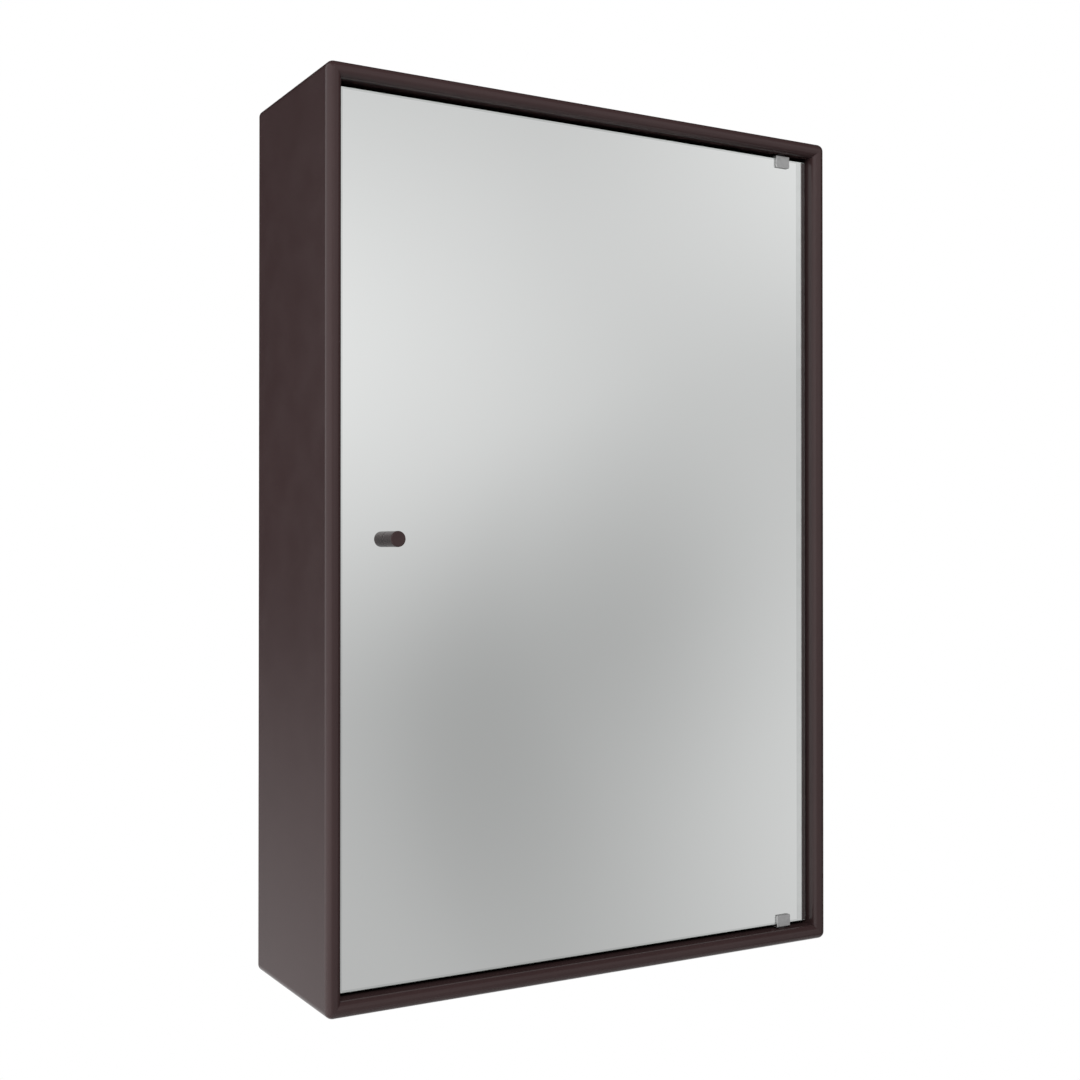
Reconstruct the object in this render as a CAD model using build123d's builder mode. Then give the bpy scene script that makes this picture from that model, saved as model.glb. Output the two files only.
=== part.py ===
# Bathroom mirror cabinet: a lacquered box with an inset mirror door on two glass clamps.
# Sizes are in millimetres. X runs along the wall, Y runs into the wall and Z runs up.
# The origin lies on the wall plane, midway between the two wall screw holes of the rail.

import os
from build123d import *

# Carcass
cabinet_width = 468.0
cabinet_height = 700.0
cabinet_depth = 150.0
panel_thickness = 12.0
corner_radius = 6.0

# Back panel and the void behind it
wall_void = 16.0
back_thickness = 4.0
groove_depth = 5.0
groove_clearance = 0.15
back_corner_width = 2.0

# Loose splines that key the mitred corners
spline_thickness = 3.0
spline_width = 9.0
spline_length = 90.0
spline_inset = 24.0
spline_depth = 6.8
spline_clearance = 0.05

# Wall rail and the two hangers that hook over it
screw_line_depth = 45.0
rail_end_gap = 22.0
rail_thickness = 2.0
rail_foot_height = 14.0
rail_step_height = 8.0
rail_gap = 5.0
rail_lip_height = 12.0
wall_screw_spacing = 320.0
wall_screw_hole_radius = 2.75
hanger_thickness = 2.0
hanger_height = 42.0
hook_overlap_width = 18.0
hook_tongue_height = 8.0
hook_clearance = 0.2
hanger_screw_pitch = 24.0
hanger_screw_wall_distance = 12.5

# Wood screws, and the clearance between any pin or screw and its hole
wood_screw_radius = 1.75
wood_screw_grip = 9.0
wood_screw_head_radius = 3.0
wood_screw_head_height = 1.8
cross_reach = 1.6
cross_width = 0.7
cross_depth = 0.9
fit_clearance = 0.05

# Mirror door
glass_recess = 11.5
glass_thickness = 4.0
side_gap = 2.0
arris_width = 0.5
film_thickness = 0.3
film_inset = 1.5

# Knob
knob_radius = 6.0
knob_length = 16.0
knob_edge_width = 0.5
knob_edge_distance = 40.0
knob_hole_radius = 3.0
knob_screw_radius = 2.0
knob_screw_bite = 8.0
knob_screw_head_radius = 4.0
knob_screw_head_height = 2.4
knob_slot_length = 6.2
knob_slot_width = 1.2
knob_slot_depth = 0.9
knob_bore_spare = 1.0
gasket_radius = 4.8
gasket_thickness = 0.4
rear_washer_radius = 5.0
rear_washer_thickness = 1.0
film_hole_spare = 0.5

# Glass clamps and pivots
pivot_edge_distance = 26.0
clamp_width = 14.4
clamp_grip = 8.1
clamp_overhang = 2.1
clamp_plate_thickness = 1.6
clamp_corner_radius = 1.5
clamp_edge_radius = 0.4
clamp_rear_thickness = 2.6
front_pad_thickness = 0.4
edge_pad_thickness = 0.4
rear_pad_thickness = 0.8
clamp_screw_radius = 2.0
clamp_screw_length = 4.5
clamp_screw_pitch = 7.0
clamp_screw_edge_distance = 4.2
socket_radius = 1.2
socket_sides = 6
socket_depth = 1.8
pivot_radius = 2.0
pivot_reach = 7.0
pivot_clearance = 0.05
bushing_wall = 1.45
bushing_flange_radius = 4.4
bushing_flange = 0.85
bushing_depth = 9.0
washer_radius = 4.0
washer_thickness = 0.5

# Magnetic catch and its strike
catch_width = 13.0
catch_depth = 24.0
catch_height = 30.0
catch_ear_height = 9.0
catch_ear_thickness = 2.6
catch_ear_depth = 12.0
catch_corner_radius = 2.0
catch_gap = 0.2
magnet_width = 4.0
magnet_depth = 9.0
magnet_height = 20.0
pole_thickness = 1.0
pole_proud = 0.5
pocket_clearance = 0.05
strike_width = 10.0
strike_height = 30.0
strike_thickness = 1.2
strike_corner_radius = 2.0
strike_pad_thickness = 0.5
strike_edge_gap = 2.0

# Shelves and their supports
shelf_thickness = 5.0
shelf_depth = 85.0
shelf_end_gap = 1.5
shelf_rear_gap = 1.0
shelf_corner_radius = 3.0
shelf_edge_width = 0.5
shelf_count = 2
support_radius = 2.5
support_bite = 8.0
support_head_radius = 4.0
support_head_length = 8.0
support_flat_depth = 1.2
support_pad_thickness = 0.8
support_pad_width = 5.0
support_edge_distance = 15.0
hole_pitch = 32.0
hole_rows_each_way = 1

# Worked out places: the carcass
half_width = cabinet_width / 2
top = screw_line_depth
bottom = top - cabinet_height
front = -cabinet_depth
middle_height = (top + bottom) / 2
inner_half_width = half_width - panel_thickness
inner_top = top - panel_thickness
inner_bottom = bottom + panel_thickness
back_front_face = -wall_void - back_thickness

# Worked out places: the door
top_gap = clamp_overhang + pivot_clearance + washer_thickness + bushing_flange
glass_front = front + glass_recess
glass_rear = glass_front + glass_thickness
glass_half_width = inner_half_width - side_gap
glass_top = inner_top - top_gap
glass_bottom = inner_bottom + top_gap
film_rear = glass_rear + film_thickness
pivot_x = glass_half_width - pivot_edge_distance
pivot_y = (glass_front + glass_rear) / 2
bushing_bore = pivot_radius + pivot_clearance
bushing_radius = bushing_bore + bushing_wall
knob_x = knob_edge_distance - glass_half_width
strike_x = strike_edge_gap + strike_width / 2 - glass_half_width
strike_rear = film_rear + strike_pad_thickness + strike_thickness

# Worked out places: the catch
catch_front = strike_rear + catch_gap + pole_proud
magnet_x = strike_x - pole_thickness
catch_screw_y = catch_front + catch_depth - catch_ear_depth / 2
catch_screw_heights = [
    middle_height - (catch_height + catch_ear_height) / 2,
    middle_height + (catch_height + catch_ear_height) / 2,
]

# Worked out places: the shelves
shelf_rear = back_front_face - shelf_rear_gap
shelf_half_width = inner_half_width - shelf_end_gap
bay_height = (inner_top - inner_bottom - shelf_count * shelf_thickness) / (shelf_count + 1)
shelf_heights = [
    inner_bottom + bay_height * (i + 1) + shelf_thickness * i for i in range(shelf_count)
]
support_drop = support_head_radius - support_flat_depth + support_pad_thickness
support_places = [
    shelf_rear - support_edge_distance,
    shelf_rear - shelf_depth + support_edge_distance,
]

# Worked out places: the rail and the hangers
lip_top = rail_step_height + rail_thickness + rail_lip_height
lip_front = -rail_gap - rail_thickness
hanger_front = lip_front - hook_clearance - hanger_thickness
hanger_top = lip_top + hanger_thickness
hanger_bottom = hanger_top - hanger_height
rail_half_length = inner_half_width - rail_end_gap
hook_inner = rail_half_length - hook_overlap_width
hanger_screw_heights = [
    (hanger_top + hanger_bottom) / 2 - hanger_screw_pitch / 2,
    (hanger_top + hanger_bottom) / 2 + hanger_screw_pitch / 2,
]

# The four corners of the box as signs along X and Z
corners = [(-1, -1), (1, -1), (1, 1), (-1, 1)]
sides = [-1, 1]
levels = [-1, 1]

os.makedirs("parts", exist_ok=True)


def keep(piece, name):
    # Label a finished piece and write its file
    piece.part.label = name
    export_step(piece.part, f"parts/{name}.step")


def edge_height(level):
    # Height of the outer face of the bottom (-1) or the top (1) of the box
    return top if level > 0 else bottom


def inner_height(level):
    # Height of the inner face of the bottom (-1) or the top (1) panel
    return inner_top if level > 0 else inner_bottom


def glass_edge(level):
    # Height of the lower (-1) or the upper (1) edge of the mirror
    return glass_top if level > 0 else glass_bottom


def sketch_section(plane, reach):
    # Section of a panel: x from its outer face inwards, y from its rounded nose to the wall
    nose = panel_thickness / 2
    groove_start = cabinet_depth - wall_void - back_thickness - groove_clearance
    groove_width = back_thickness + 2 * groove_clearance
    with BuildSketch(plane) as section:
        with BuildLine():
            ThreePointArc((0, nose), (nose, 0), (panel_thickness, nose))
            Line((panel_thickness, nose), (panel_thickness, cabinet_depth))
            Line((panel_thickness, cabinet_depth), (0, cabinet_depth))
            Line((0, cabinet_depth), (0, nose))
        make_face()
        with Locations((panel_thickness - groove_depth, groove_start)):
            Rectangle(
                groove_depth, groove_width, align=(Align.MIN, Align.MIN), mode=Mode.SUBTRACT
            )
        Rectangle(reach, cabinet_depth, align=(Align.MIN, Align.MIN), mode=Mode.INTERSECT)
    return section.sketch


def draw_corner_turn(datum, distance, turn):
    # Outer part of the section, turned through half a right angle about the corner's axis
    outer_part = sketch_section(datum.offset(distance), corner_radius)
    pivot = datum.from_local_coords((corner_radius, 0, distance))
    revolve(outer_part, axis=Axis(pivot, datum.y_dir * turn), revolution_arc=45)


def draw_panel(datum, length):
    # Mitred panel: the datum's x runs inwards, its y to the wall and its z along the panel
    far = length - corner_radius
    whole_section = sketch_section(datum.offset(corner_radius), panel_thickness)
    extrude(whole_section, amount=far - corner_radius)
    draw_corner_turn(datum, corner_radius, -1)
    draw_corner_turn(datum, far, 1)
    mitre_plane = Plane(datum.origin, x_dir=datum.x_dir, z_dir=-datum.y_dir)
    with BuildSketch(mitre_plane) as mitres:
        with BuildLine():
            Polyline(
                (corner_radius, corner_radius),
                (panel_thickness, corner_radius),
                (panel_thickness, panel_thickness),
                close=True,
            )
        make_face()
        with BuildLine():
            Polyline(
                (corner_radius, far),
                (panel_thickness, far),
                (panel_thickness, length - panel_thickness),
                close=True,
            )
        make_face()
    extrude(mitres.sketch, amount=-cabinet_depth, mode=Mode.SUBTRACT)


def draw_spline(corner, spare, mode):
    # Flat tongue across one mitre, or its slot when it is drawn with some spare
    side, level = corner
    middle = (
        side * (half_width - spline_depth),
        front + spline_inset - spare,
        edge_height(level) - level * spline_depth,
    )
    with BuildSketch(Plane(middle, x_dir=(side, 0, -level), z_dir=(0, 1, 0))) as tongue:
        Rectangle(spline_width + 2 * spare, spline_thickness + 2 * spare)
    extrude(tongue.sketch, amount=spline_length + 2 * spare, mode=mode)


def draw_spline_slots(panel_corners):
    for corner in panel_corners:
        draw_spline(corner, spline_clearance, Mode.SUBTRACT)


def side_face(side):
    # Plane on the inner face of a side panel, with its x along Y and its y along Z
    return Plane.YZ.offset(side * inner_half_width)


def draw_side_holes(side, places, radius, depth):
    # Blind holes in a side panel at (Y, Z) places on its inner face
    with BuildSketch(side_face(side)) as holes:
        with Locations(places):
            Circle(radius + fit_clearance)
    extrude(holes.sketch, amount=side * (depth + fit_clearance), mode=Mode.SUBTRACT)


def draw_pivot_seat(level):
    # Blind hole in the top or the bottom panel for a pivot bushing
    with BuildSketch(Plane.XY.offset(inner_height(level))) as seat:
        with Locations((pivot_x, pivot_y)):
            Circle(bushing_radius + fit_clearance)
    extrude(seat.sketch, amount=level * (bushing_depth + fit_clearance), mode=Mode.SUBTRACT)


# Places of the holes on the inner faces of the side panels
shelf_hole_places = [
    (place, shelf_height - support_drop + row * hole_pitch)
    for shelf_height in shelf_heights
    for row in range(-hole_rows_each_way, hole_rows_each_way + 1)
    for place in support_places
]
hanger_screw_places = [(-hanger_screw_wall_distance, height) for height in hanger_screw_heights]
catch_screw_places = [(catch_screw_y, height) for height in catch_screw_heights]

# Side panels, with the rows of holes that let each shelf be set higher or lower
with BuildPart() as left_side_panel:
    draw_panel(
        Plane((-half_width, front, bottom), x_dir=(1, 0, 0), z_dir=(0, 0, 1)), cabinet_height
    )
    draw_spline_slots([(-1, -1), (-1, 1)])
    draw_side_holes(-1, shelf_hole_places, support_radius, support_bite)
    draw_side_holes(-1, hanger_screw_places, wood_screw_radius, wood_screw_grip)
    draw_side_holes(-1, catch_screw_places, wood_screw_radius, wood_screw_grip)
keep(left_side_panel, "left_side_panel")

with BuildPart() as right_side_panel:
    draw_panel(
        Plane((half_width, front, top), x_dir=(-1, 0, 0), z_dir=(0, 0, -1)), cabinet_height
    )
    draw_spline_slots([(1, -1), (1, 1)])
    draw_side_holes(1, shelf_hole_places, support_radius, support_bite)
    draw_side_holes(1, hanger_screw_places, wood_screw_radius, wood_screw_grip)
keep(right_side_panel, "right_side_panel")

# Top and bottom panels, each with the seat of one pivot bushing
with BuildPart() as top_panel:
    draw_panel(
        Plane((-half_width, front, top), x_dir=(0, 0, -1), z_dir=(1, 0, 0)), cabinet_width
    )
    draw_spline_slots([(-1, 1), (1, 1)])
    draw_pivot_seat(1)
keep(top_panel, "top_panel")

with BuildPart() as bottom_panel:
    draw_panel(
        Plane((half_width, front, bottom), x_dir=(0, 0, 1), z_dir=(-1, 0, 0)), cabinet_width
    )
    draw_spline_slots([(-1, -1), (1, -1)])
    draw_pivot_seat(-1)
keep(bottom_panel, "bottom_panel")

# Loose splines in the four mitres
with BuildPart() as mitre_splines:
    for corner in corners:
        draw_spline(corner, 0, Mode.ADD)
keep(mitre_splines, "mitre_splines")

# Back panel, held in grooves on all four sides
back_reach = groove_depth - groove_clearance
with BuildPart() as back_panel:
    with BuildSketch(Plane.XZ.offset(-back_front_face)):
        with Locations((0, middle_height)):
            Rectangle(
                2 * (inner_half_width + back_reach), inner_top - inner_bottom + 2 * back_reach
            )
        chamfer(vertices(), length=back_corner_width)
    extrude(amount=-back_thickness)
keep(back_panel, "back_panel")

# Wall rail: a flat sheet on the wall whose upper edge steps out into a lip
with BuildPart() as wall_rail:
    with BuildSketch(Plane.YZ.offset(-rail_half_length)):
        with BuildLine():
            Polyline(
                (0, -rail_foot_height),
                (0, rail_step_height + rail_thickness),
                (-rail_gap, rail_step_height + rail_thickness),
                (-rail_gap, lip_top),
                (lip_front, lip_top),
                (lip_front, rail_step_height),
                (-rail_thickness, rail_step_height),
                (-rail_thickness, -rail_foot_height),
                close=True,
            )
        make_face()
    extrude(amount=2 * rail_half_length)
    with BuildSketch(Plane.XZ):
        with GridLocations(wall_screw_spacing, 0, 2, 1):
            Circle(wall_screw_hole_radius)
    extrude(amount=rail_thickness, mode=Mode.SUBTRACT)
keep(wall_rail, "wall_rail")


def draw_hanger(side):
    # Angle plate: one leg on the side panel, the other hooks over the rail's lip
    outer = inner_half_width
    leg_inner = inner_half_width - hanger_thickness
    web_rear = hanger_front + hanger_thickness
    tongue_front = -rail_gap + hook_clearance
    tongue_rear = tongue_front + hanger_thickness
    tongue_end = lip_top - hook_tongue_height
    leg_front = -wall_void + hook_clearance
    with BuildSketch(Plane.XY.offset(hanger_bottom)) as plate:
        with BuildLine():
            Polyline(
                (side * outer, leg_front),
                (side * outer, -hook_clearance),
                (side * leg_inner, -hook_clearance),
                (side * leg_inner, web_rear),
                (side * hook_inner, web_rear),
                (side * hook_inner, hanger_front),
                (side * leg_inner, hanger_front),
                (side * leg_inner, leg_front),
                close=True,
            )
        make_face()
    extrude(plate.sketch, amount=hanger_top - hanger_bottom)
    with BuildSketch(Plane.YZ.offset(side * hook_inner)) as hook:
        with BuildLine():
            Polyline(
                (hanger_front, lip_top),
                (hanger_front, hanger_top),
                (tongue_rear, hanger_top),
                (tongue_rear, tongue_end),
                (tongue_front, tongue_end),
                (tongue_front, lip_top),
                close=True,
            )
        make_face()
    extrude(hook.sketch, amount=side * hook_overlap_width)
    with BuildSketch(side_face(side)) as holes:
        with Locations(hanger_screw_places):
            Circle(wood_screw_radius + fit_clearance)
    extrude(holes.sketch, amount=-side * hanger_thickness, mode=Mode.SUBTRACT)


with BuildPart() as left_hanger:
    draw_hanger(-1)
keep(left_hanger, "left_hanger")

with BuildPart() as right_hanger:
    draw_hanger(1)
keep(right_hanger, "right_hanger")


def draw_wood_screw(seat, way, grip):
    # Pan head screw: its shank runs from the seat plane the given way along the plane's normal
    with BuildSketch(seat) as shank:
        Circle(wood_screw_radius)
    extrude(shank.sketch, amount=way * grip)
    with BuildSketch(seat) as head:
        Circle(wood_screw_head_radius)
    extrude(head.sketch, amount=-way * wood_screw_head_height)
    with BuildSketch(seat.offset(-way * wood_screw_head_height)) as cross:
        Rectangle(2 * cross_reach, cross_width)
        Rectangle(cross_width, 2 * cross_reach)
    extrude(cross.sketch, amount=way * cross_depth, mode=Mode.SUBTRACT)


with BuildPart() as hanger_screws:
    for side in sides:
        for height in hanger_screw_heights:
            seat = Plane(
                (side * (inner_half_width - hanger_thickness), -hanger_screw_wall_distance, height),
                z_dir=(1, 0, 0),
            )
            draw_wood_screw(seat, side, wood_screw_grip + hanger_thickness)
keep(hanger_screws, "hanger_screws")

# Mirror glass, with its edges ground off a little and one hole for the knob
with BuildPart() as mirror_glass:
    with BuildSketch(Plane.XZ.offset(-glass_front)):
        with Locations((0, (glass_top + glass_bottom) / 2)):
            Rectangle(2 * glass_half_width, glass_top - glass_bottom)
    extrude(amount=-glass_thickness)
    chamfer(faces().filter_by(Axis.Y).edges(), length=arris_width)
    with BuildSketch(Plane.XZ.offset(-glass_front)):
        with Locations((knob_x, middle_height)):
            Circle(knob_hole_radius)
    extrude(amount=-glass_thickness, mode=Mode.SUBTRACT)
keep(mirror_glass, "mirror_glass")

# Safety film on the rear of the glass
film_top = glass_top - film_inset
film_bottom = glass_bottom + film_inset
with BuildPart() as safety_film:
    with BuildSketch(Plane.XZ.offset(-glass_rear)):
        with Locations((0, (film_top + film_bottom) / 2)):
            Rectangle(2 * (glass_half_width - film_inset), film_top - film_bottom)
        with Locations((knob_x, middle_height)):
            Circle(rear_washer_radius + film_hole_spare, mode=Mode.SUBTRACT)
    extrude(amount=-film_thickness)
keep(safety_film, "safety_film")

# Knob: a plain round bar with a softened edge, tapped from its base
knob_front = glass_front - knob_length
with BuildPart() as knob:
    with BuildSketch(Plane.XZ.offset(-glass_front)):
        with Locations((knob_x, middle_height)):
            Circle(knob_radius)
    extrude(amount=knob_length)
    chamfer(faces().sort_by(Axis.Y)[0].edges(), length=knob_edge_width)
    with BuildSketch(Plane.XZ.offset(-glass_front)):
        with Locations((knob_x, middle_height)):
            Circle(gasket_radius + fit_clearance)
    extrude(amount=gasket_thickness, mode=Mode.SUBTRACT)
    with BuildSketch(Plane.XZ.offset(-glass_front)):
        with Locations((knob_x, middle_height)):
            Circle(knob_screw_radius + fit_clearance)
    extrude(amount=knob_screw_bite + knob_bore_spare, mode=Mode.SUBTRACT)
keep(knob, "knob")

with BuildPart() as knob_gasket:
    with BuildSketch(Plane.XZ.offset(-glass_front)):
        with Locations((knob_x, middle_height)):
            Circle(gasket_radius)
            Circle(knob_screw_radius + fit_clearance, mode=Mode.SUBTRACT)
    extrude(amount=gasket_thickness)
keep(knob_gasket, "knob_gasket")

with BuildPart() as knob_rear_washer:
    with BuildSketch(Plane.XZ.offset(-glass_rear)):
        with Locations((knob_x, middle_height)):
            Circle(rear_washer_radius)
            Circle(knob_screw_radius + fit_clearance, mode=Mode.SUBTRACT)
    extrude(amount=-rear_washer_thickness)
keep(knob_rear_washer, "knob_rear_washer")

washer_rear = glass_rear + rear_washer_thickness
with BuildPart() as knob_screw:
    with BuildSketch(Plane.XZ.offset(-washer_rear)):
        with Locations((knob_x, middle_height)):
            Circle(knob_screw_radius)
    extrude(amount=washer_rear - glass_front + knob_screw_bite)
    with BuildSketch(Plane.XZ.offset(-washer_rear)):
        with Locations((knob_x, middle_height)):
            Circle(knob_screw_head_radius)
    extrude(amount=-knob_screw_head_height)
    with BuildSketch(Plane.XZ.offset(-washer_rear - knob_screw_head_height)):
        with Locations((knob_x, middle_height)):
            SlotOverall(knob_slot_length, knob_slot_width)
    extrude(amount=knob_slot_depth, mode=Mode.SUBTRACT)
keep(knob_screw, "knob_screw")

# Glass clamps: a channel over the top or bottom edge of the glass, with the pivot in its web
pad_front = glass_front - front_pad_thickness
pad_rear = glass_rear + rear_pad_thickness
clamp_front = pad_front - clamp_plate_thickness
clamp_rear = pad_rear + clamp_rear_thickness


def draw_clamp(level):
    # Channel round the edge of the glass, with holes for the pivot and two grub screws
    edge = glass_edge(level)
    outer = edge + level * clamp_overhang
    grip = edge - level * clamp_grip
    web_inner = edge + level * edge_pad_thickness
    with BuildSketch(Plane.YZ.offset(pivot_x - clamp_width / 2)) as channel:
        with BuildLine():
            Polyline(
                (clamp_front, outer),
                (clamp_rear, outer),
                (clamp_rear, grip),
                (pad_rear, grip),
                (pad_rear, web_inner),
                (pad_front, web_inner),
                (pad_front, grip),
                (clamp_front, grip),
                close=True,
            )
        make_face()
    extrude(channel.sketch, amount=clamp_width)
    free_corners = edges().filter_by(Axis.Y).group_by(Axis.Z)[0 if level > 0 else -1]
    fillet(free_corners, radius=clamp_corner_radius)
    fillet(faces().sort_by(Axis.Y)[0].edges(), radius=clamp_edge_radius)
    with BuildSketch(Plane.XY.offset(web_inner)) as pin_hole:
        with Locations((pivot_x, pivot_y)):
            Circle(pivot_radius + fit_clearance)
    extrude(pin_hole.sketch, amount=outer - web_inner, mode=Mode.SUBTRACT)
    with BuildSketch(clamp_screw_plane(level)) as screw_holes:
        with GridLocations(clamp_screw_pitch, 0, 2, 1):
            Circle(clamp_screw_radius + fit_clearance)
    extrude(screw_holes.sketch, amount=clamp_rear_thickness, mode=Mode.SUBTRACT)


def clamp_screw_plane(level):
    # Plane on the rear of the liner, midway between the two grub screws of a clamp
    height = glass_edge(level) - level * clamp_screw_edge_distance
    return Plane((pivot_x, pad_rear, height), x_dir=(1, 0, 0), z_dir=(0, 1, 0))


def draw_clamp_pad(level):
    # Soft liner folded round the edge of the glass inside the clamp
    edge = glass_edge(level)
    outer = edge + level * edge_pad_thickness
    end = edge - level * (clamp_grip - clamp_edge_radius)
    film_edge = edge - level * film_inset
    width = clamp_width - 2 * clamp_edge_radius
    with BuildSketch(Plane.YZ.offset(pivot_x - width / 2)) as liner:
        with BuildLine():
            Polyline(
                (pad_front, outer),
                (pad_rear, outer),
                (pad_rear, end),
                (film_rear, end),
                (film_rear, film_edge),
                (glass_rear, film_edge),
                (glass_rear, edge),
                (glass_front, edge),
                (glass_front, end),
                (pad_front, end),
                close=True,
            )
        make_face()
    extrude(liner.sketch, amount=width)


def draw_pivot_pin(level):
    # Plain pin riveted through the clamp's web, reaching into the bushing
    web_inner = glass_edge(level) + level * edge_pad_thickness
    pin_end = inner_height(level) + level * pivot_reach
    with BuildSketch(Plane.XY.offset(web_inner)) as pin:
        with Locations((pivot_x, pivot_y)):
            Circle(pivot_radius)
    extrude(pin.sketch, amount=pin_end - web_inner)


def draw_bushing(level):
    # Flanged plastic sleeve pressed into the panel
    with BuildSketch(Plane.XY.offset(inner_height(level))) as sleeve:
        with Locations((pivot_x, pivot_y)):
            Circle(bushing_radius)
            Circle(bushing_bore, mode=Mode.SUBTRACT)
    extrude(sleeve.sketch, amount=level * bushing_depth)
    with BuildSketch(Plane.XY.offset(inner_height(level))) as flange:
        with Locations((pivot_x, pivot_y)):
            Circle(bushing_flange_radius)
            Circle(bushing_bore, mode=Mode.SUBTRACT)
    extrude(flange.sketch, amount=-level * bushing_flange)


with BuildPart() as upper_clamp:
    draw_clamp(1)
keep(upper_clamp, "upper_clamp")

with BuildPart() as lower_clamp:
    draw_clamp(-1)
keep(lower_clamp, "lower_clamp")

with BuildPart() as upper_clamp_pad:
    draw_clamp_pad(1)
keep(upper_clamp_pad, "upper_clamp_pad")

with BuildPart() as lower_clamp_pad:
    draw_clamp_pad(-1)
keep(lower_clamp_pad, "lower_clamp_pad")

with BuildPart() as upper_pivot_pin:
    draw_pivot_pin(1)
keep(upper_pivot_pin, "upper_pivot_pin")

with BuildPart() as lower_pivot_pin:
    draw_pivot_pin(-1)
keep(lower_pivot_pin, "lower_pivot_pin")

with BuildPart() as upper_bushing:
    draw_bushing(1)
keep(upper_bushing, "upper_bushing")

with BuildPart() as lower_bushing:
    draw_bushing(-1)
keep(lower_bushing, "lower_bushing")

# Slippery washer under the lower clamp, which carries the weight of the door
with BuildPart() as thrust_washer:
    with BuildSketch(Plane.XY.offset(inner_bottom + bushing_flange)):
        with Locations((pivot_x, pivot_y)):
            Circle(washer_radius)
            Circle(pivot_radius + pivot_clearance, mode=Mode.SUBTRACT)
    extrude(amount=washer_thickness)
keep(thrust_washer, "thrust_washer")

# Grub screws in the rear plates of the clamps
with BuildPart() as clamp_screws:
    for level in levels:
        tip = clamp_screw_plane(level)
        with BuildSketch(tip):
            with GridLocations(clamp_screw_pitch, 0, 2, 1):
                Circle(clamp_screw_radius)
        extrude(amount=clamp_screw_length)
        with BuildSketch(tip.offset(clamp_screw_length)):
            with GridLocations(clamp_screw_pitch, 0, 2, 1):
                RegularPolygon(socket_radius, socket_sides)
        extrude(amount=-socket_depth, mode=Mode.SUBTRACT)
keep(clamp_screws, "clamp_screws")

# Steel strike on a glued pad, behind the free edge of the mirror
with BuildPart() as strike_pad:
    with BuildSketch(Plane.XZ.offset(-film_rear)):
        with Locations((strike_x, middle_height)):
            RectangleRounded(strike_width, strike_height, strike_corner_radius)
    extrude(amount=-strike_pad_thickness)
keep(strike_pad, "strike_pad")

with BuildPart() as strike_plate:
    with BuildSketch(Plane.XZ.offset(-film_rear - strike_pad_thickness)):
        with Locations((strike_x, middle_height)):
            RectangleRounded(strike_width, strike_height, strike_corner_radius)
    extrude(amount=-strike_thickness)
keep(strike_plate, "strike_plate")

# Magnetic catch on the left side panel: housing, magnet, pole plates and screws
magnet_front = catch_front - pole_proud
pocket_height = magnet_height + 2 * pocket_clearance
pocket_width = magnet_width + 2 * pole_thickness + 2 * pocket_clearance
with BuildPart() as catch_housing:
    with BuildSketch(side_face(-1)):
        with Locations((catch_front, middle_height)):
            Rectangle(catch_depth, catch_height, align=(Align.MIN, Align.CENTER))
    extrude(amount=catch_width)
    fillet(edges().filter_by(Axis.Y).group_by(Axis.X)[-1], radius=catch_corner_radius)
    with BuildSketch(side_face(-1)):
        with Locations((catch_front + catch_depth - catch_ear_depth, middle_height)):
            Rectangle(
                catch_ear_depth,
                catch_height + 2 * catch_ear_height,
                align=(Align.MIN, Align.CENTER),
            )
    extrude(amount=catch_ear_thickness)
    with BuildSketch(Plane.XZ.offset(-catch_front)):
        with Locations((magnet_x, middle_height)):
            Rectangle(pocket_width, pocket_height)
    extrude(amount=-magnet_depth, mode=Mode.SUBTRACT)
    with BuildSketch(side_face(-1)):
        with Locations(catch_screw_places):
            Circle(wood_screw_radius + fit_clearance)
    extrude(amount=catch_ear_thickness, mode=Mode.SUBTRACT)
keep(catch_housing, "catch_housing")

with BuildPart() as catch_magnet:
    with BuildSketch(Plane.XZ.offset(-catch_front)):
        with Locations((magnet_x, middle_height)):
            Rectangle(magnet_width, magnet_height)
    extrude(amount=-magnet_depth)
keep(catch_magnet, "catch_magnet")

with BuildPart() as pole_plates:
    with BuildSketch(Plane.XZ.offset(-magnet_front)):
        with Locations((magnet_x, middle_height)):
            with GridLocations(magnet_width + pole_thickness, 0, 2, 1):
                Rectangle(pole_thickness, magnet_height)
    extrude(amount=-magnet_depth - pole_proud)
keep(pole_plates, "pole_plates")

with BuildPart() as catch_screws:
    for height in catch_screw_heights:
        seat = Plane(
            (catch_ear_thickness - inner_half_width, catch_screw_y, height), z_dir=(1, 0, 0)
        )
        draw_wood_screw(seat, -1, wood_screw_grip + catch_ear_thickness)
keep(catch_screws, "catch_screws")

# Glass shelves, numbered from the bottom
shelf_names = ["lower_shelf", "upper_shelf"]
for shelf_name, shelf_height in zip(shelf_names, shelf_heights):
    with BuildPart() as shelf:
        with BuildSketch(Plane.XY.offset(shelf_height)):
            with Locations((0, shelf_rear - shelf_depth / 2)):
                RectangleRounded(2 * shelf_half_width, shelf_depth, shelf_corner_radius)
        extrude(amount=shelf_thickness)
        chamfer(faces().filter_by(Axis.Z).edges(), length=shelf_edge_width)
    keep(shelf, shelf_name)

# Shelf supports: a shank in the side panel and a head with a flat for the pad
with BuildPart() as shelf_supports:
    for side in sides:
        for shelf_height in shelf_heights:
            axis_height = shelf_height - support_drop
            places = [(place, axis_height) for place in support_places]
            with BuildSketch(side_face(side)):
                with Locations(places):
                    Circle(support_radius)
            extrude(amount=side * support_bite)
            with BuildSketch(side_face(side)):
                with Locations(places):
                    Circle(support_head_radius)
            extrude(amount=-side * support_head_length)
            flat_plane = Plane.XY.offset(axis_height + support_head_radius - support_flat_depth)
            with BuildSketch(flat_plane):
                for place in support_places:
                    with Locations((side * (inner_half_width - support_head_length / 2), place)):
                        Rectangle(support_head_length, 2 * support_head_radius)
            extrude(amount=support_flat_depth, mode=Mode.SUBTRACT)
keep(shelf_supports, "shelf_supports")

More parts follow.
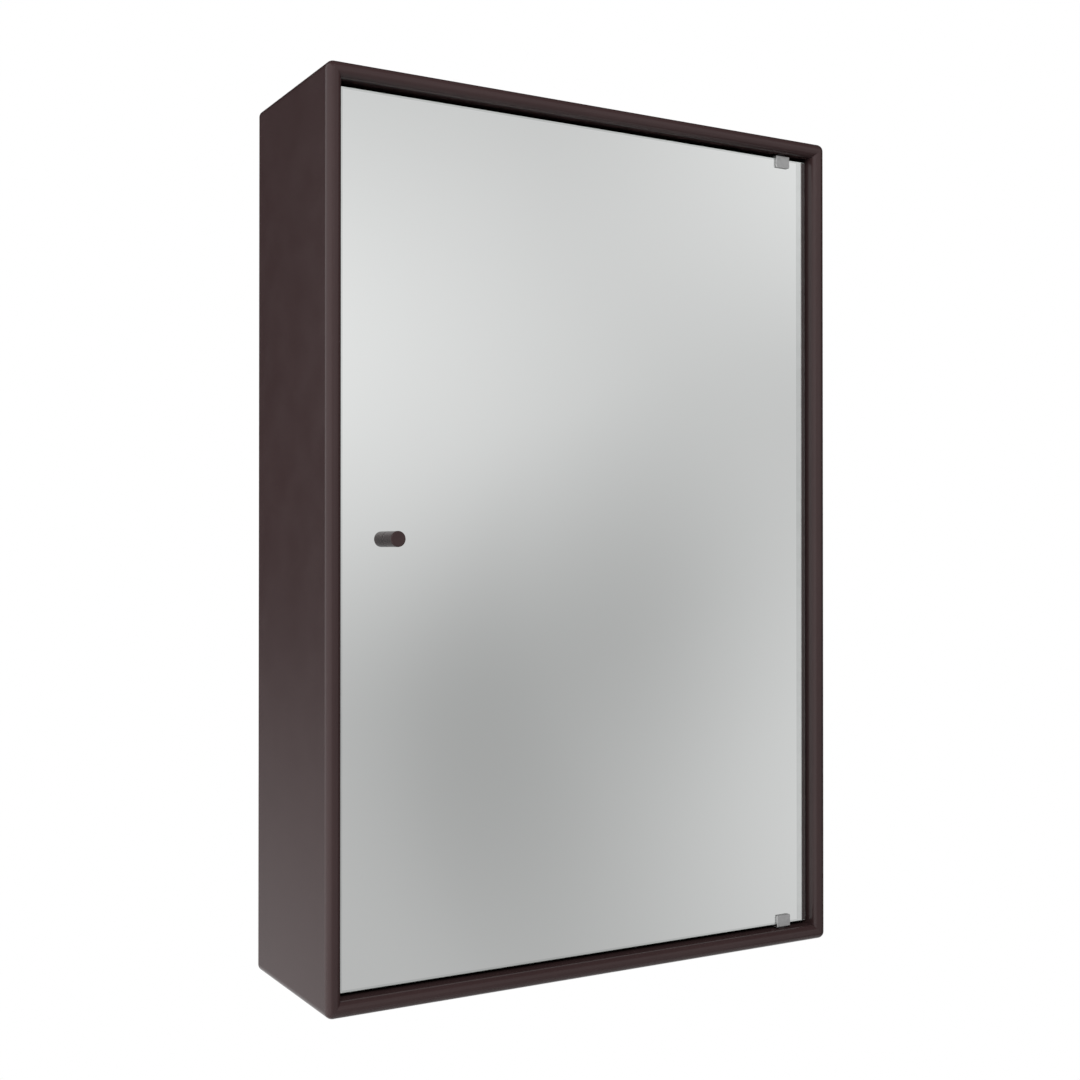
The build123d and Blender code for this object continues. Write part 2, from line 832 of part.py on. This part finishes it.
with BuildPart() as support_pads:
    for shelf_height in shelf_heights:
        with BuildSketch(Plane.XY.offset(shelf_height - support_pad_thickness)):
            for side in sides:
                for place in support_places:
                    with Locations((side * (inner_half_width - support_head_length / 2), place)):
                        Rectangle(support_head_length, support_pad_width)
        extrude(amount=support_pad_thickness)
keep(support_pads, "support_pads")
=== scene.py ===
import math

import bmesh
import bpy
import numpy as np
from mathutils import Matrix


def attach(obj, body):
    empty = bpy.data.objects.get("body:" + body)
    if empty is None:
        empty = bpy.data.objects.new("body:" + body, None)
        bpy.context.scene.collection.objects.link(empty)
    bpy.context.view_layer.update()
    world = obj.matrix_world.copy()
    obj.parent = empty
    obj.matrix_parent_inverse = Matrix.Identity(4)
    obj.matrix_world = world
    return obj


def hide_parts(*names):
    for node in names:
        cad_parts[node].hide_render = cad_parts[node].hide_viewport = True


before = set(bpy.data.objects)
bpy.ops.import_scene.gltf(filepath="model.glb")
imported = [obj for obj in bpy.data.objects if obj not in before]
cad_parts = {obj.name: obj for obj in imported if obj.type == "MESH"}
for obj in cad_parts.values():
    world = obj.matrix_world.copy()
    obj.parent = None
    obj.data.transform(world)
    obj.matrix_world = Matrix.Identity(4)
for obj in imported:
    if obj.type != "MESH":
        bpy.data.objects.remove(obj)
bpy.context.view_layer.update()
print("frame loaded,", len(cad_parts), "nodes")


# small helpers for materials


def newMaterial(name):
    # a node material with a Principled shader wired to its output
    material = bpy.data.materials.new(name)
    material.use_nodes = True
    tree = material.node_tree
    tree.nodes.clear()
    output = tree.nodes.new("ShaderNodeOutputMaterial")
    shader = tree.nodes.new("ShaderNodeBsdfPrincipled")
    tree.links.new(shader.outputs["BSDF"], output.inputs["Surface"])
    return material, tree, shader


def objectNoise(tree, scale, detail=3.0, stretch=(1, 1, 1), roughness=0.5):
    # noise on the piece's own coordinates; a stretch below 1 draws it out along that axis
    coords = tree.nodes.new("ShaderNodeTexCoord")
    mapping = tree.nodes.new("ShaderNodeMapping")
    mapping.inputs["Scale"].default_value = stretch
    noise = tree.nodes.new("ShaderNodeTexNoise")
    noise.inputs["Scale"].default_value = scale
    noise.inputs["Detail"].default_value = detail
    noise.inputs["Roughness"].default_value = roughness
    tree.links.new(coords.outputs["Object"], mapping.inputs["Vector"])
    tree.links.new(mapping.outputs["Vector"], noise.inputs["Vector"])
    return noise.outputs["Fac"]


def ramp(tree, value, low, high, start=0.35, end=0.65):
    # two colours blended by a value between start and end
    node = tree.nodes.new("ShaderNodeValToRGB")
    node.color_ramp.elements[0].position = start
    node.color_ramp.elements[1].position = end
    node.color_ramp.elements[0].color = (*low, 1)
    node.color_ramp.elements[1].color = (*high, 1)
    tree.links.new(value, node.inputs["Fac"])
    return node.outputs["Color"]


def spread(tree, value, low, high):
    # a value between 0.3 and 0.7 spread to low..high
    node = tree.nodes.new("ShaderNodeMapRange")
    node.inputs["From Min"].default_value = 0.3
    node.inputs["From Max"].default_value = 0.7
    node.inputs["To Min"].default_value = low
    node.inputs["To Max"].default_value = high
    tree.links.new(value, node.inputs["Value"])
    return node.outputs["Result"]


def addBump(tree, shader, height, strength, distance):
    bump = tree.nodes.new("ShaderNodeBump")
    bump.inputs["Strength"].default_value = strength
    bump.inputs["Distance"].default_value = distance
    tree.links.new(height, bump.inputs["Height"])
    tree.links.new(bump.outputs["Normal"], shader.inputs["Normal"])


def wear(
    name, colours, rough, noiseScale, metallic=0.0, bump=(0.1, 0.0002), grain=None,
    stretch=(1, 1, 1),
):
    # a finish whose colour drifts and whose fine grain is in its roughness and its bump;
    # bump is strength and depth, grain is the fine noise's own scale
    material, tree, shader = newMaterial(name)
    drift = objectNoise(tree, noiseScale)
    tree.links.new(ramp(tree, drift, *colours), shader.inputs["Base Color"])
    fine = objectNoise(tree, grain or noiseScale * 8, 2.0, stretch)
    tree.links.new(spread(tree, fine, *rough), shader.inputs["Roughness"])
    shader.inputs["Metallic"].default_value = metallic
    addBump(tree, shader, fine, *bump)
    return material


# finishes

lacquer = {
    "dark": (0.0365, 0.0210, 0.0214),
    "light": (0.0402, 0.0236, 0.0240),
    "rough": (0.19, 0.24),
    "driftScale": 6.0,
    "hazeScale": 30.0,
    "peelScale": 420.0,  # orange peel, cells of about 2 mm
    "peelStrength": 0.05,
    "peelDepth": 0.0001,
    "specular": 0.25,
}


def makeLacquer(name, spec):
    material, tree, shader = newMaterial(name)
    drift = objectNoise(tree, spec["driftScale"], 4.0)
    tree.links.new(ramp(tree, drift, spec["dark"], spec["light"]), shader.inputs["Base Color"])
    haze = objectNoise(tree, spec["hazeScale"], 5.0)
    tree.links.new(spread(tree, haze, *spec["rough"]), shader.inputs["Roughness"])
    shader.inputs["Specular IOR Level"].default_value = spec["specular"]
    peel = objectNoise(tree, spec["peelScale"], 1.0)
    addBump(tree, shader, peel, spec["peelStrength"], spec["peelDepth"])
    return material


mirror = {
    "silver": ((0.865, 0.880, 0.873), (0.880, 0.892, 0.886)),
    "rough": (0.015, 0.045),  # a trace of haze where the glass was wiped
    "driftScale": 2.5,
    "wipedScale": 9.0,
    "wipedStretch": (1.0, 1.0, 0.35),
}


def makeSilver(name, spec):
    material, tree, shader = newMaterial(name)
    drift = objectNoise(tree, spec["driftScale"], 2.0)
    tree.links.new(ramp(tree, drift, *spec["silver"]), shader.inputs["Base Color"])
    wiped = objectNoise(tree, spec["wipedScale"], 6.0, spec["wipedStretch"])
    tree.links.new(spread(tree, wiped, *spec["rough"]), shader.inputs["Roughness"])
    shader.inputs["Metallic"].default_value = 1.0
    return material


clearGlass = {
    "tint": ((0.86, 0.95, 0.92), (0.90, 0.97, 0.95)),
    "rough": (0.01, 0.05),
    "driftScale": 14.0,
    "smearScale": 40.0,
    "refraction": 1.52,
}


def makeShelfGlass(name, spec):
    # clear float glass with a faint green tint and a few smears
    material, tree, shader = newMaterial(name)
    drift = objectNoise(tree, spec["driftScale"], 2.0)
    tree.links.new(ramp(tree, drift, *spec["tint"]), shader.inputs["Base Color"])
    smear = objectNoise(tree, spec["smearScale"], 4.0)
    tree.links.new(spread(tree, smear, *spec["rough"]), shader.inputs["Roughness"])
    shader.inputs["Transmission Weight"].default_value = 1.0
    shader.inputs["IOR"].default_value = spec["refraction"]
    return material


brownLacquer = makeLacquer("brown_lacquer", lacquer)
backLacquer = wear(
    "back_board_lacquer", ((0.026, 0.017, 0.017), (0.034, 0.023, 0.023)), (0.42, 0.55), 9.0
)
silver = makeSilver("mirror_silver", mirror)
groundEdge = wear(
    "ground_glass_edge", ((0.52, 0.60, 0.57), (0.66, 0.73, 0.70)), (0.25, 0.45), 60.0
)
# a slightly darker silver for a band along the pane's edges: painted reflection of the frame
paintedEdgeReflection = wear(
    "painted_edge_reflection", ((0.72, 0.735, 0.73), (0.76, 0.775, 0.77)), (0.05, 0.12), 60.0, 1.0,
    (0.04, 0.00005), 900.0,
)
mirrorPaint = wear(
    "mirror_backing_paint", ((0.20, 0.22, 0.23), (0.25, 0.27, 0.28)), (0.55, 0.7), 25.0
)
film = wear(
    "safety_film", ((0.355, 0.375, 0.385), (0.375, 0.395, 0.405)), (0.38, 0.46), 70.0,
    bump=(0.12, 0.0001), grain=900.0,
)
satinNickel = wear(
    "satin_nickel", ((0.55, 0.55, 0.55), (0.61, 0.61, 0.61)), (0.40, 0.52), 300.0, 1.0,
    (0.06, 0.00005), 1800.0, (0.15, 1, 1),
)
zincPlate = wear(
    "zinc_plate", ((0.50, 0.52, 0.54), (0.66, 0.68, 0.69)), (0.25, 0.45), 90.0, 1.0,
    (0.08, 0.0001), 700.0,
)
plainSteel = wear(
    "plain_steel", ((0.42, 0.42, 0.43), (0.52, 0.52, 0.53)), (0.22, 0.38), 200.0, 1.0,
    (0.05, 0.00005), 1500.0,
)
darkNylon = wear(
    "dark_nylon", ((0.012, 0.009, 0.009), (0.020, 0.015, 0.015)), (0.35, 0.5), 120.0
)
catchPlastic = wear(
    "catch_plastic", ((0.030, 0.021, 0.021), (0.040, 0.029, 0.029)), (0.38, 0.55), 80.0,
    bump=(0.2, 0.0001), grain=2200.0,
)
magnetBlack = wear(
    "magnet_black", ((0.020, 0.020, 0.022), (0.034, 0.034, 0.036)), (0.45, 0.7), 300.0,
    bump=(0.3, 0.0001), grain=2500.0,
)
foamTape = wear(
    "foam_tape", ((0.60, 0.60, 0.57), (0.70, 0.70, 0.67)), (0.7, 0.9), 500.0,
    bump=(0.5, 0.0002), grain=3000.0,
)
blackRubber = wear(
    "black_rubber", ((0.012, 0.012, 0.012), (0.022, 0.022, 0.022)), (0.6, 0.8), 200.0
)
clearPad = wear(
    "clear_pad", ((0.56, 0.60, 0.60), (0.66, 0.70, 0.70)), (0.2, 0.35), 200.0
)
shelfGlass = makeShelfGlass("shelf_glass", clearGlass)
beech = wear(
    "bare_beech", ((0.44, 0.29, 0.16), (0.58, 0.40, 0.24)), (0.5, 0.7), 30.0, 0.0,
    (0.2, 0.0003), 400.0, (1, 0.08, 1),
)
print("finishes made")

nodeFinish = {
    "left_side_panel": brownLacquer,
    "right_side_panel": brownLacquer,
    "top_panel": brownLacquer,
    "bottom_panel": brownLacquer,
    "mitre_splines": beech,
    "back_panel": backLacquer,
    "wall_rail": zincPlate,
    "left_hanger": zincPlate,
    "right_hanger": zincPlate,
    "hanger_screws": zincPlate,
    "mirror_glass": silver,
    "safety_film": film,
    "knob": brownLacquer,
    "knob_gasket": blackRubber,
    "knob_rear_washer": darkNylon,
    "knob_screw": zincPlate,
    "upper_clamp": satinNickel,
    "lower_clamp": satinNickel,
    "upper_clamp_pad": blackRubber,
    "lower_clamp_pad": blackRubber,
    "upper_pivot_pin": plainSteel,
    "lower_pivot_pin": plainSteel,
    "upper_bushing": darkNylon,
    "lower_bushing": darkNylon,
    "thrust_washer": darkNylon,
    "clamp_screws": plainSteel,
    "strike_pad": foamTape,
    "strike_plate": zincPlate,
    "catch_housing": catchPlastic,
    "catch_magnet": magnetBlack,
    "pole_plates": plainSteel,
    "catch_screws": zincPlate,
    "lower_shelf": shelfGlass,
    "upper_shelf": shelfGlass,
    "shelf_supports": satinNickel,
    "support_pads": clearPad,
}
for nodeName, material in nodeFinish.items():
    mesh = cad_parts[nodeName].data
    mesh.materials.clear()
    mesh.materials.append(material)
print("finishes given to", len(nodeFinish), "nodes")


# the mirror pane and the knob


poleMerge = 1e-7


def gridMesh(name, points, materials, rowFinish=None, closedAlong=False, smooth=True):
    # rows x columns of points joined into quads; each row of points is a closed ring
    rows, columns = points.shape[:2]
    r, c = np.meshgrid(
        np.arange(rows if closedAlong else rows - 1), np.arange(columns), indexing="ij"
    )
    nextR, nextC = (r + 1) % rows, (c + 1) % columns
    quads = np.stack(
        [r * columns + c, r * columns + nextC, nextR * columns + nextC, nextR * columns + c],
        axis=-1,
    ).reshape(-1, 4)
    mesh = bpy.data.meshes.new(name)
    mesh.from_pydata(points.reshape(-1, 3).tolist(), [], quads.tolist())
    for finish in materials:
        mesh.materials.append(finish)
    if rowFinish is not None:
        finishOfFace = np.asarray(rowFinish, np.int32)[r.reshape(-1)]
        mesh.polygons.foreach_set("material_index", finishOfFace)
    mesh.polygons.foreach_set("use_smooth", np.full(len(quads), smooth))
    # rings of no width become one point, which closes the poles
    merged = bmesh.new()
    merged.from_mesh(mesh)
    bmesh.ops.remove_doubles(merged, verts=merged.verts, dist=poleMerge)
    merged.to_mesh(mesh)
    merged.free()
    mesh.update()
    piece = bpy.data.objects.new(name, mesh)
    bpy.context.scene.collection.objects.link(piece)
    return piece


def turned(profile, centre, count):
    # a profile of (radius, depth) pairs turned round an axis along Y through the centre
    angle = np.linspace(0, -2 * math.pi, count, endpoint=False)
    radius, depth = np.array(profile, float).T
    return np.stack(
        [
            centre[0] + radius[:, None] * np.cos(angle)[None, :],
            centre[1] + depth[:, None] * np.ones(count)[None, :],
            centre[2] + radius[:, None] * np.sin(angle)[None, :],
        ],
        axis=-1,
    )


def arc(centreRadius, centreDepth, radius, start, end, count):
    # (radius, depth) pairs on a circle in the profile's plane, angles in degrees
    angle = np.radians(np.linspace(start, end, count))
    return list(
        zip(centreRadius + radius * np.cos(angle), centreDepth + radius * np.sin(angle))
    )


# the pane, in metres: front and back planes, outline, and the hole for the knob
pane = {
    "front": -0.1385,
    "back": -0.1345,
    "left": -0.220, "right": 0.220,
    "bottom": -0.6395, "top": 0.0295,
    "arris": 0.0005,
    "hole": (-0.180, -0.305), "holeRadius": 0.003,
    # how far in from each edge a darker band is painted on the silver: painted reflection of the
    # frame, widest on the right
    "reflectBandLeft": 0.0020, "reflectBandRight": 0.0099, "reflectBandBottom": 0.0020, "reflectBandTop": 0.0018,
    "perSide": 24,
}


def mirrorPane(spec):
    # closed rings: each goes from the round hole to a rectangle, over the edge and back behind;
    # a point of a rectangle is its corner plus a share of the side to the next corner
    share = np.arange(spec["perSide"]) / spec["perSide"]

    def ring(left, bottom, right, high, depth):
        corners = np.array([(left, bottom), (left, high), (right, high), (right, bottom)])
        ahead = np.roll(corners, -1, axis=0)
        flat = (
            corners[:, None, :] + share[None, :, None] * (ahead - corners)[:, None, :]
        ).reshape(-1, 2)
        return np.stack([flat[:, 0], np.full(len(flat), depth), flat[:, 1]], axis=-1)

    def inset(distance, depth):
        return ring(
            spec["left"] + distance, spec["bottom"] + distance,
            spec["right"] - distance, spec["top"] - distance, depth,
        )

    # the inner rim of the darker band of painted frame reflection
    seen = ring(
        spec["left"] + spec["reflectBandLeft"], spec["bottom"] + spec["reflectBandBottom"],
        spec["right"] - spec["reflectBandRight"], spec["top"] - spec["reflectBandTop"], spec["front"],
    )
    toEdge = seen[:, [0, 2]] - np.array(spec["hole"])
    around = np.array(spec["hole"]) + spec["holeRadius"] * toEdge / np.linalg.norm(
        toEdge, axis=1, keepdims=True
    )

    def hole(depth):
        return np.stack([around[:, 0], np.full(len(around), depth), around[:, 1]], axis=-1)

    arris, front, back = spec["arris"], spec["front"], spec["back"]
    rings = [
        hole(front), seen, inset(arris, front), inset(0.0, front + arris),
        inset(0.0, back - arris), inset(arris, back), hole(back),
    ]
    # silver, the band of painted frame reflection, arris, edge, arris, paint, hole wall
    rowFinish = [0, 1, 2, 2, 2, 3, 2]
    piece = gridMesh(
        "mirror_pane", np.array(rings), [silver, paintedEdgeReflection, groundEdge, mirrorPaint],
        rowFinish, True, False,
    )
    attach(piece, "door")
    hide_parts("mirror_glass")


mirrorPane(pane)
print("mirror pane made")

# the knob in metres, its depths measured from the front of the glass towards the room
knobShape = {
    "centre": (-0.180, -0.1385, -0.305),
    "radius": 0.006, "length": 0.016,
    "edge": 0.0007, "baseEdge": 0.0003, "dish": 0.0001,
    "gasketRadius": 0.00485, "gasketDepth": 0.0004,
    "boreRadius": 0.00205, "boreDepth": 0.009, "boreTip": 0.0006,
    "pitch": 0.0007, "thread": 0.00018,
    "edgeStart": -80,  # degrees; the cap's last ring stands at -90
    "count": 96, "capRings": 9, "edgeRings": 8, "sideRings": 12, "baseRings": 5,
}


def knobTurned(spec):
    # a lathe profile: faintly dished cap, round edge, plain side, base, and a ribbed bore
    length, radius, edge = spec["length"], spec["radius"], spec["edge"]
    capRadius = np.linspace(0.0, radius - edge, spec["capRings"])
    cap = list(
        zip(capRadius, -length + spec["dish"] * (1 - (capRadius / (radius - edge)) ** 2))
    )
    sideDepth = np.linspace(length - edge, spec["baseEdge"], spec["sideRings"])
    side = [(radius, -depth) for depth in sideDepth[1:-1]]
    boreDepth = np.arange(spec["gasketDepth"], spec["boreDepth"], spec["pitch"] / 4)
    bore = [
        (spec["boreRadius"] + spec["thread"] * np.sin(2 * math.pi * depth / spec["pitch"]) ** 2,
         -depth)
        for depth in boreDepth
    ]
    profile = (
        cap
        + arc(radius - edge, -length + edge, edge, spec["edgeStart"], 0, spec["edgeRings"])
        + side
        + arc(
            radius - spec["baseEdge"], -spec["baseEdge"], spec["baseEdge"], 0, 90,
            spec["baseRings"],
        )
        + [(spec["gasketRadius"], 0.0), (spec["gasketRadius"], -spec["gasketDepth"])]
        + bore
        + [(0.0, -spec["boreDepth"] - spec["boreTip"])]
    )
    # the bore and its tip are bare metal
    rowFinish = [0] * (len(profile) - len(bore) - 1) + [1] * (len(bore) + 1)
    piece = gridMesh(
        "knob_turned", turned(profile, spec["centre"], spec["count"]),
        [brownLacquer, plainSteel], rowFinish,
    )
    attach(piece, "door")
    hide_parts("knob")


knobTurned(knobShape)
print("knob made")

# studio: what lights the cabinet, and what its gloss sees

studio = {
    "domeRadius": 6.0,
    "domeCentre": (0.0, 0.0, -0.305),
    "rings": 41, "count": 80,
    "frontTone": 0.563,  # general tone in front of the mirror
    "frontClimb": 0.142,  # how much lighter it gets upwards
    "leftTone": 1.4,
    "darkTone": 0.01,
    "floorGlow": 0.75,
    # where each tone fades in along x, y or z
    "frontFade": (-2.6, -4.3),
    "leftFade": (-2.6, -3.8),
    "glowFade": (0.3, -3.0),
    "glowBehind": (-1.0, 2.0),
    "ambient": 0.15,
}
# soft cards in front of the mirror: centre across, centre up, half width, half height, gain
softCards = [
    (3.59, -0.90, 2.00, 1.74, -0.32),
    (3.38, -0.16, 0.60, 1.16, -0.06),
    (0.87, 0.89, 3.53, 1.88, 0.33),
    (4.48, 2.14, 1.85, 1.76, 0.36),
    (3.93, -1.04, 1.61, 1.97, 0.45),
    (-0.60, 1.60, 1.50, 3.60, 0.25),
]


def mathNode(tree, operation, first, second):
    node = tree.nodes.new("ShaderNodeMath")
    node.operation = operation
    for socket, value in zip(node.inputs, (first, second)):
        if isinstance(value, (int, float)):
            socket.default_value = value
        else:
            tree.links.new(value, socket)
    return node.outputs[0]


def smoothStep(tree, value, fromLow, fromHigh, toLow=0.0, toHigh=1.0):
    node = tree.nodes.new("ShaderNodeMapRange")
    node.interpolation_type = "SMOOTHSTEP"
    node.inputs["From Min"].default_value = fromLow
    node.inputs["From Max"].default_value = fromHigh
    node.inputs["To Min"].default_value = toLow
    node.inputs["To Max"].default_value = toHigh
    tree.links.new(value, node.inputs["Value"])
    return node.outputs["Result"]


def makeDomeFinish(spec, cards):
    # emission painted on the dome's own coordinates: a light front, a bright left, dark elsewhere
    material = bpy.data.materials.new("studio_dome")
    material.use_nodes = True
    tree = material.node_tree
    tree.nodes.clear()
    output = tree.nodes.new("ShaderNodeOutputMaterial")
    emission = tree.nodes.new("ShaderNodeEmission")
    tree.links.new(emission.outputs[0], output.inputs["Surface"])
    coords = tree.nodes.new("ShaderNodeTexCoord")
    split = tree.nodes.new("ShaderNodeSeparateXYZ")
    tree.links.new(coords.outputs["Object"], split.inputs[0])
    x, y, z = split.outputs
    z = mathNode(tree, "SUBTRACT", z, spec["domeCentre"][2])
    climb = mathNode(tree, "MULTIPLY", z, spec["frontClimb"] / spec["domeRadius"])
    tone = mathNode(tree, "ADD", climb, spec["frontTone"])
    for centreX, centreZ, halfWide, halfHigh, gain in cards:
        across = mathNode(tree, "DIVIDE", mathNode(tree, "SUBTRACT", x, centreX), halfWide)
        along = mathNode(tree, "DIVIDE", mathNode(tree, "SUBTRACT", z, centreZ), halfHigh)
        squares = mathNode(
            tree, "ADD",
            mathNode(tree, "MULTIPLY", across, across), mathNode(tree, "MULTIPLY", along, along),
        )
        away = mathNode(tree, "SQRT", squares, 0.0)
        tone = mathNode(tree, "ADD", tone, smoothStep(tree, away, 0.0, 1.0, gain, 0.0))
    front = mathNode(tree, "MULTIPLY", tone, smoothStep(tree, y, *spec["frontFade"]))
    left = smoothStep(tree, x, *spec["leftFade"])
    frontKept = mathNode(tree, "MULTIPLY", front, mathNode(tree, "SUBTRACT", 1.0, left))
    lit = mathNode(tree, "ADD", frontKept, mathNode(tree, "MULTIPLY", left, spec["leftTone"]))
    glow = mathNode(
        tree, "MULTIPLY", smoothStep(tree, z, *spec["glowFade"], 0.0, spec["floorGlow"]),
        smoothStep(tree, y, *spec["glowBehind"]),
    )
    total = mathNode(tree, "ADD", mathNode(tree, "MAXIMUM", lit, glow), spec["darkTone"])
    tree.links.new(total, emission.inputs["Strength"])
    return material


def makeDome(spec):
    # a sphere: longitude round the upright axis, latitude from bottom to top, seen from inside
    latitude = np.linspace(-math.pi / 2, math.pi / 2, spec["rings"])
    longitude = np.linspace(0, 2 * math.pi, spec["count"], endpoint=False)
    lat, lon = np.meshgrid(latitude, longitude, indexing="ij")
    points = np.stack(
        [
            spec["domeRadius"] * np.cos(lat) * np.cos(lon) + spec["domeCentre"][0],
            spec["domeRadius"] * np.cos(lat) * np.sin(lon) + spec["domeCentre"][1],
            spec["domeRadius"] * np.sin(lat) + spec["domeCentre"][2],
        ],
        axis=-1,
    )
    dome = gridMesh("studio_dome", points, [makeDomeFinish(spec, softCards)])
    dome.visible_camera = False
    dome.visible_diffuse = False
    dome.visible_transmission = False
    dome.visible_volume_scatter = False
    dome.visible_shadow = False


makeDome(studio)

lamps = [
    # name, place, diameter, power, colour
    ("key_front", (-0.85, -2.15, 0.95), 1.4, 65.0, (1.0, 0.99, 0.98)),
    ("side_left", (-2.5, 0.4, -1.4), 1.8, 66.0, (1.0, 1.0, 1.0)),
    ("top_soft", (0.2, -1.2, 2.4), 2.0, 11.0, (1.0, 1.0, 1.0)),
    ("back_soft", (1.9, 2.1, 0.4), 1.6, 60.0, (1.0, 1.0, 1.0)),
]
aim = np.array([0.0, -0.08, -0.305])
for lampName, place, diameter, power, colour in lamps:
    data = bpy.data.lights.new(lampName, "AREA")
    data.shape = "DISK"
    data.size = diameter
    data.energy = power
    data.color = colour
    lamp = bpy.data.objects.new(lampName, data)
    lamp.location = place
    towards = aim - np.array(place)  # a lamp shines along its own -Z
    lamp.rotation_euler = (
        math.atan2(-math.hypot(towards[0], towards[1]), towards[2]) + math.pi,
        0,
        math.atan2(towards[1], towards[0]) - math.pi / 2,
    )
    lamp.visible_glossy = False
    lamp.visible_camera = False
    bpy.context.scene.collection.objects.link(lamp)


def makeWorld(spec):
    # white where the camera, gloss or glass looks past everything, pale grey as soft light
    world = bpy.data.worlds.new("studio_world")
    bpy.context.scene.world = world
    world.use_nodes = True
    tree = world.node_tree
    tree.nodes.clear()
    output = tree.nodes.new("ShaderNodeOutputWorld")
    ambient = tree.nodes.new("ShaderNodeBackground")
    ambient.inputs["Color"].default_value = (1, 1, 1, 1)
    ambient.inputs["Strength"].default_value = spec["ambient"]
    backdrop = tree.nodes.new("ShaderNodeBackground")
    backdrop.inputs["Color"].default_value = (1, 1, 1, 1)
    backdrop.inputs["Strength"].default_value = 1.0
    path = tree.nodes.new("ShaderNodeLightPath")
    seen = mathNode(
        tree, "MAXIMUM", path.outputs["Is Camera Ray"],
        mathNode(
            tree, "MAXIMUM", path.outputs["Is Glossy Ray"], path.outputs["Is Transmission Ray"]
        ),
    )
    mix = tree.nodes.new("ShaderNodeMixShader")
    tree.links.new(seen, mix.inputs["Fac"])
    tree.links.new(ambient.outputs[0], mix.inputs[1])
    tree.links.new(backdrop.outputs[0], mix.inputs[2])
    tree.links.new(mix.outputs[0], output.inputs["Surface"])


makeWorld(studio)
print("studio lit")

floor = {
    "height": -1.855, "radius": 1.7, "rim": 0.55, "forward": -0.2,
    "rings": 30, "count": 96,
    "pale": ((0.88, 0.88, 0.88), (0.91, 0.91, 0.91)),
    "driftScale": 5.0, "rough": 0.8, "specular": 0.1,
}


def makeFloor(spec):
    # a disc: rings of growing radius round a point below the cabinet; its rim fades to white
    radius = np.linspace(0.0, spec["radius"], spec["rings"])[:, None]
    angle = np.linspace(0, 2 * math.pi, spec["count"], endpoint=False)[None, :]
    points = np.stack(
        [
            radius * np.cos(angle),
            radius * np.sin(angle) + spec["forward"],
            np.full((spec["rings"], spec["count"]), spec["height"]),
        ],
        axis=-1,
    )
    material, tree, shader = newMaterial("pale_floor")
    coords = tree.nodes.new("ShaderNodeTexCoord")
    mapping = tree.nodes.new("ShaderNodeMapping")
    mapping.inputs["Location"].default_value = (0.0, -spec["forward"], -spec["height"])
    length = tree.nodes.new("ShaderNodeVectorMath")
    length.operation = "LENGTH"
    tree.links.new(coords.outputs["Object"], mapping.inputs["Vector"])
    tree.links.new(mapping.outputs["Vector"], length.inputs[0])
    edge = smoothStep(tree, length.outputs["Value"], spec["radius"] - spec["rim"], spec["radius"])
    shader.inputs["Roughness"].default_value = spec["rough"]
    shader.inputs["Specular IOR Level"].default_value = spec["specular"]
    drift = objectNoise(tree, spec["driftScale"])
    tree.links.new(ramp(tree, drift, *spec["pale"]), shader.inputs["Base Color"])
    white = tree.nodes.new("ShaderNodeEmission")
    white.inputs["Strength"].default_value = 1.0
    mix = tree.nodes.new("ShaderNodeMixShader")
    output = tree.nodes["Material Output"]
    tree.links.new(edge, mix.inputs["Fac"])
    tree.links.new(shader.outputs["BSDF"], mix.inputs[1])
    tree.links.new(white.outputs[0], mix.inputs[2])
    tree.links.new(mix.outputs[0], output.inputs["Surface"])
    disc = gridMesh("pale_floor", points, [material])


makeFloor(floor)

# camera, fitted to the photograph

camera = {
    "place": (-0.63706, -1.16139, -0.31329),
    "yaw": 29.851,  # degrees from +Y towards +X
    "pitch": 0.391,
    "lens": 49.55,  # millimetres on a sensor 36 mm wide
    "sensor": 36.0,
    "clipEnd": 100.0,
}
cameraData = bpy.data.cameras.new("photo_camera")
cameraData.lens = camera["lens"]
cameraData.sensor_width = camera["sensor"]
cameraData.clip_end = camera["clipEnd"]
cameraObject = bpy.data.objects.new("photo_camera", cameraData)
cameraObject.location = camera["place"]
cameraObject.rotation_euler = (
    math.radians(90 + camera["pitch"]), 0, math.radians(-camera["yaw"])
)
bpy.context.scene.collection.objects.link(cameraObject)
bpy.context.scene.camera = cameraObject
bpy.context.scene.view_settings.view_transform = "Standard"
print("camera set")
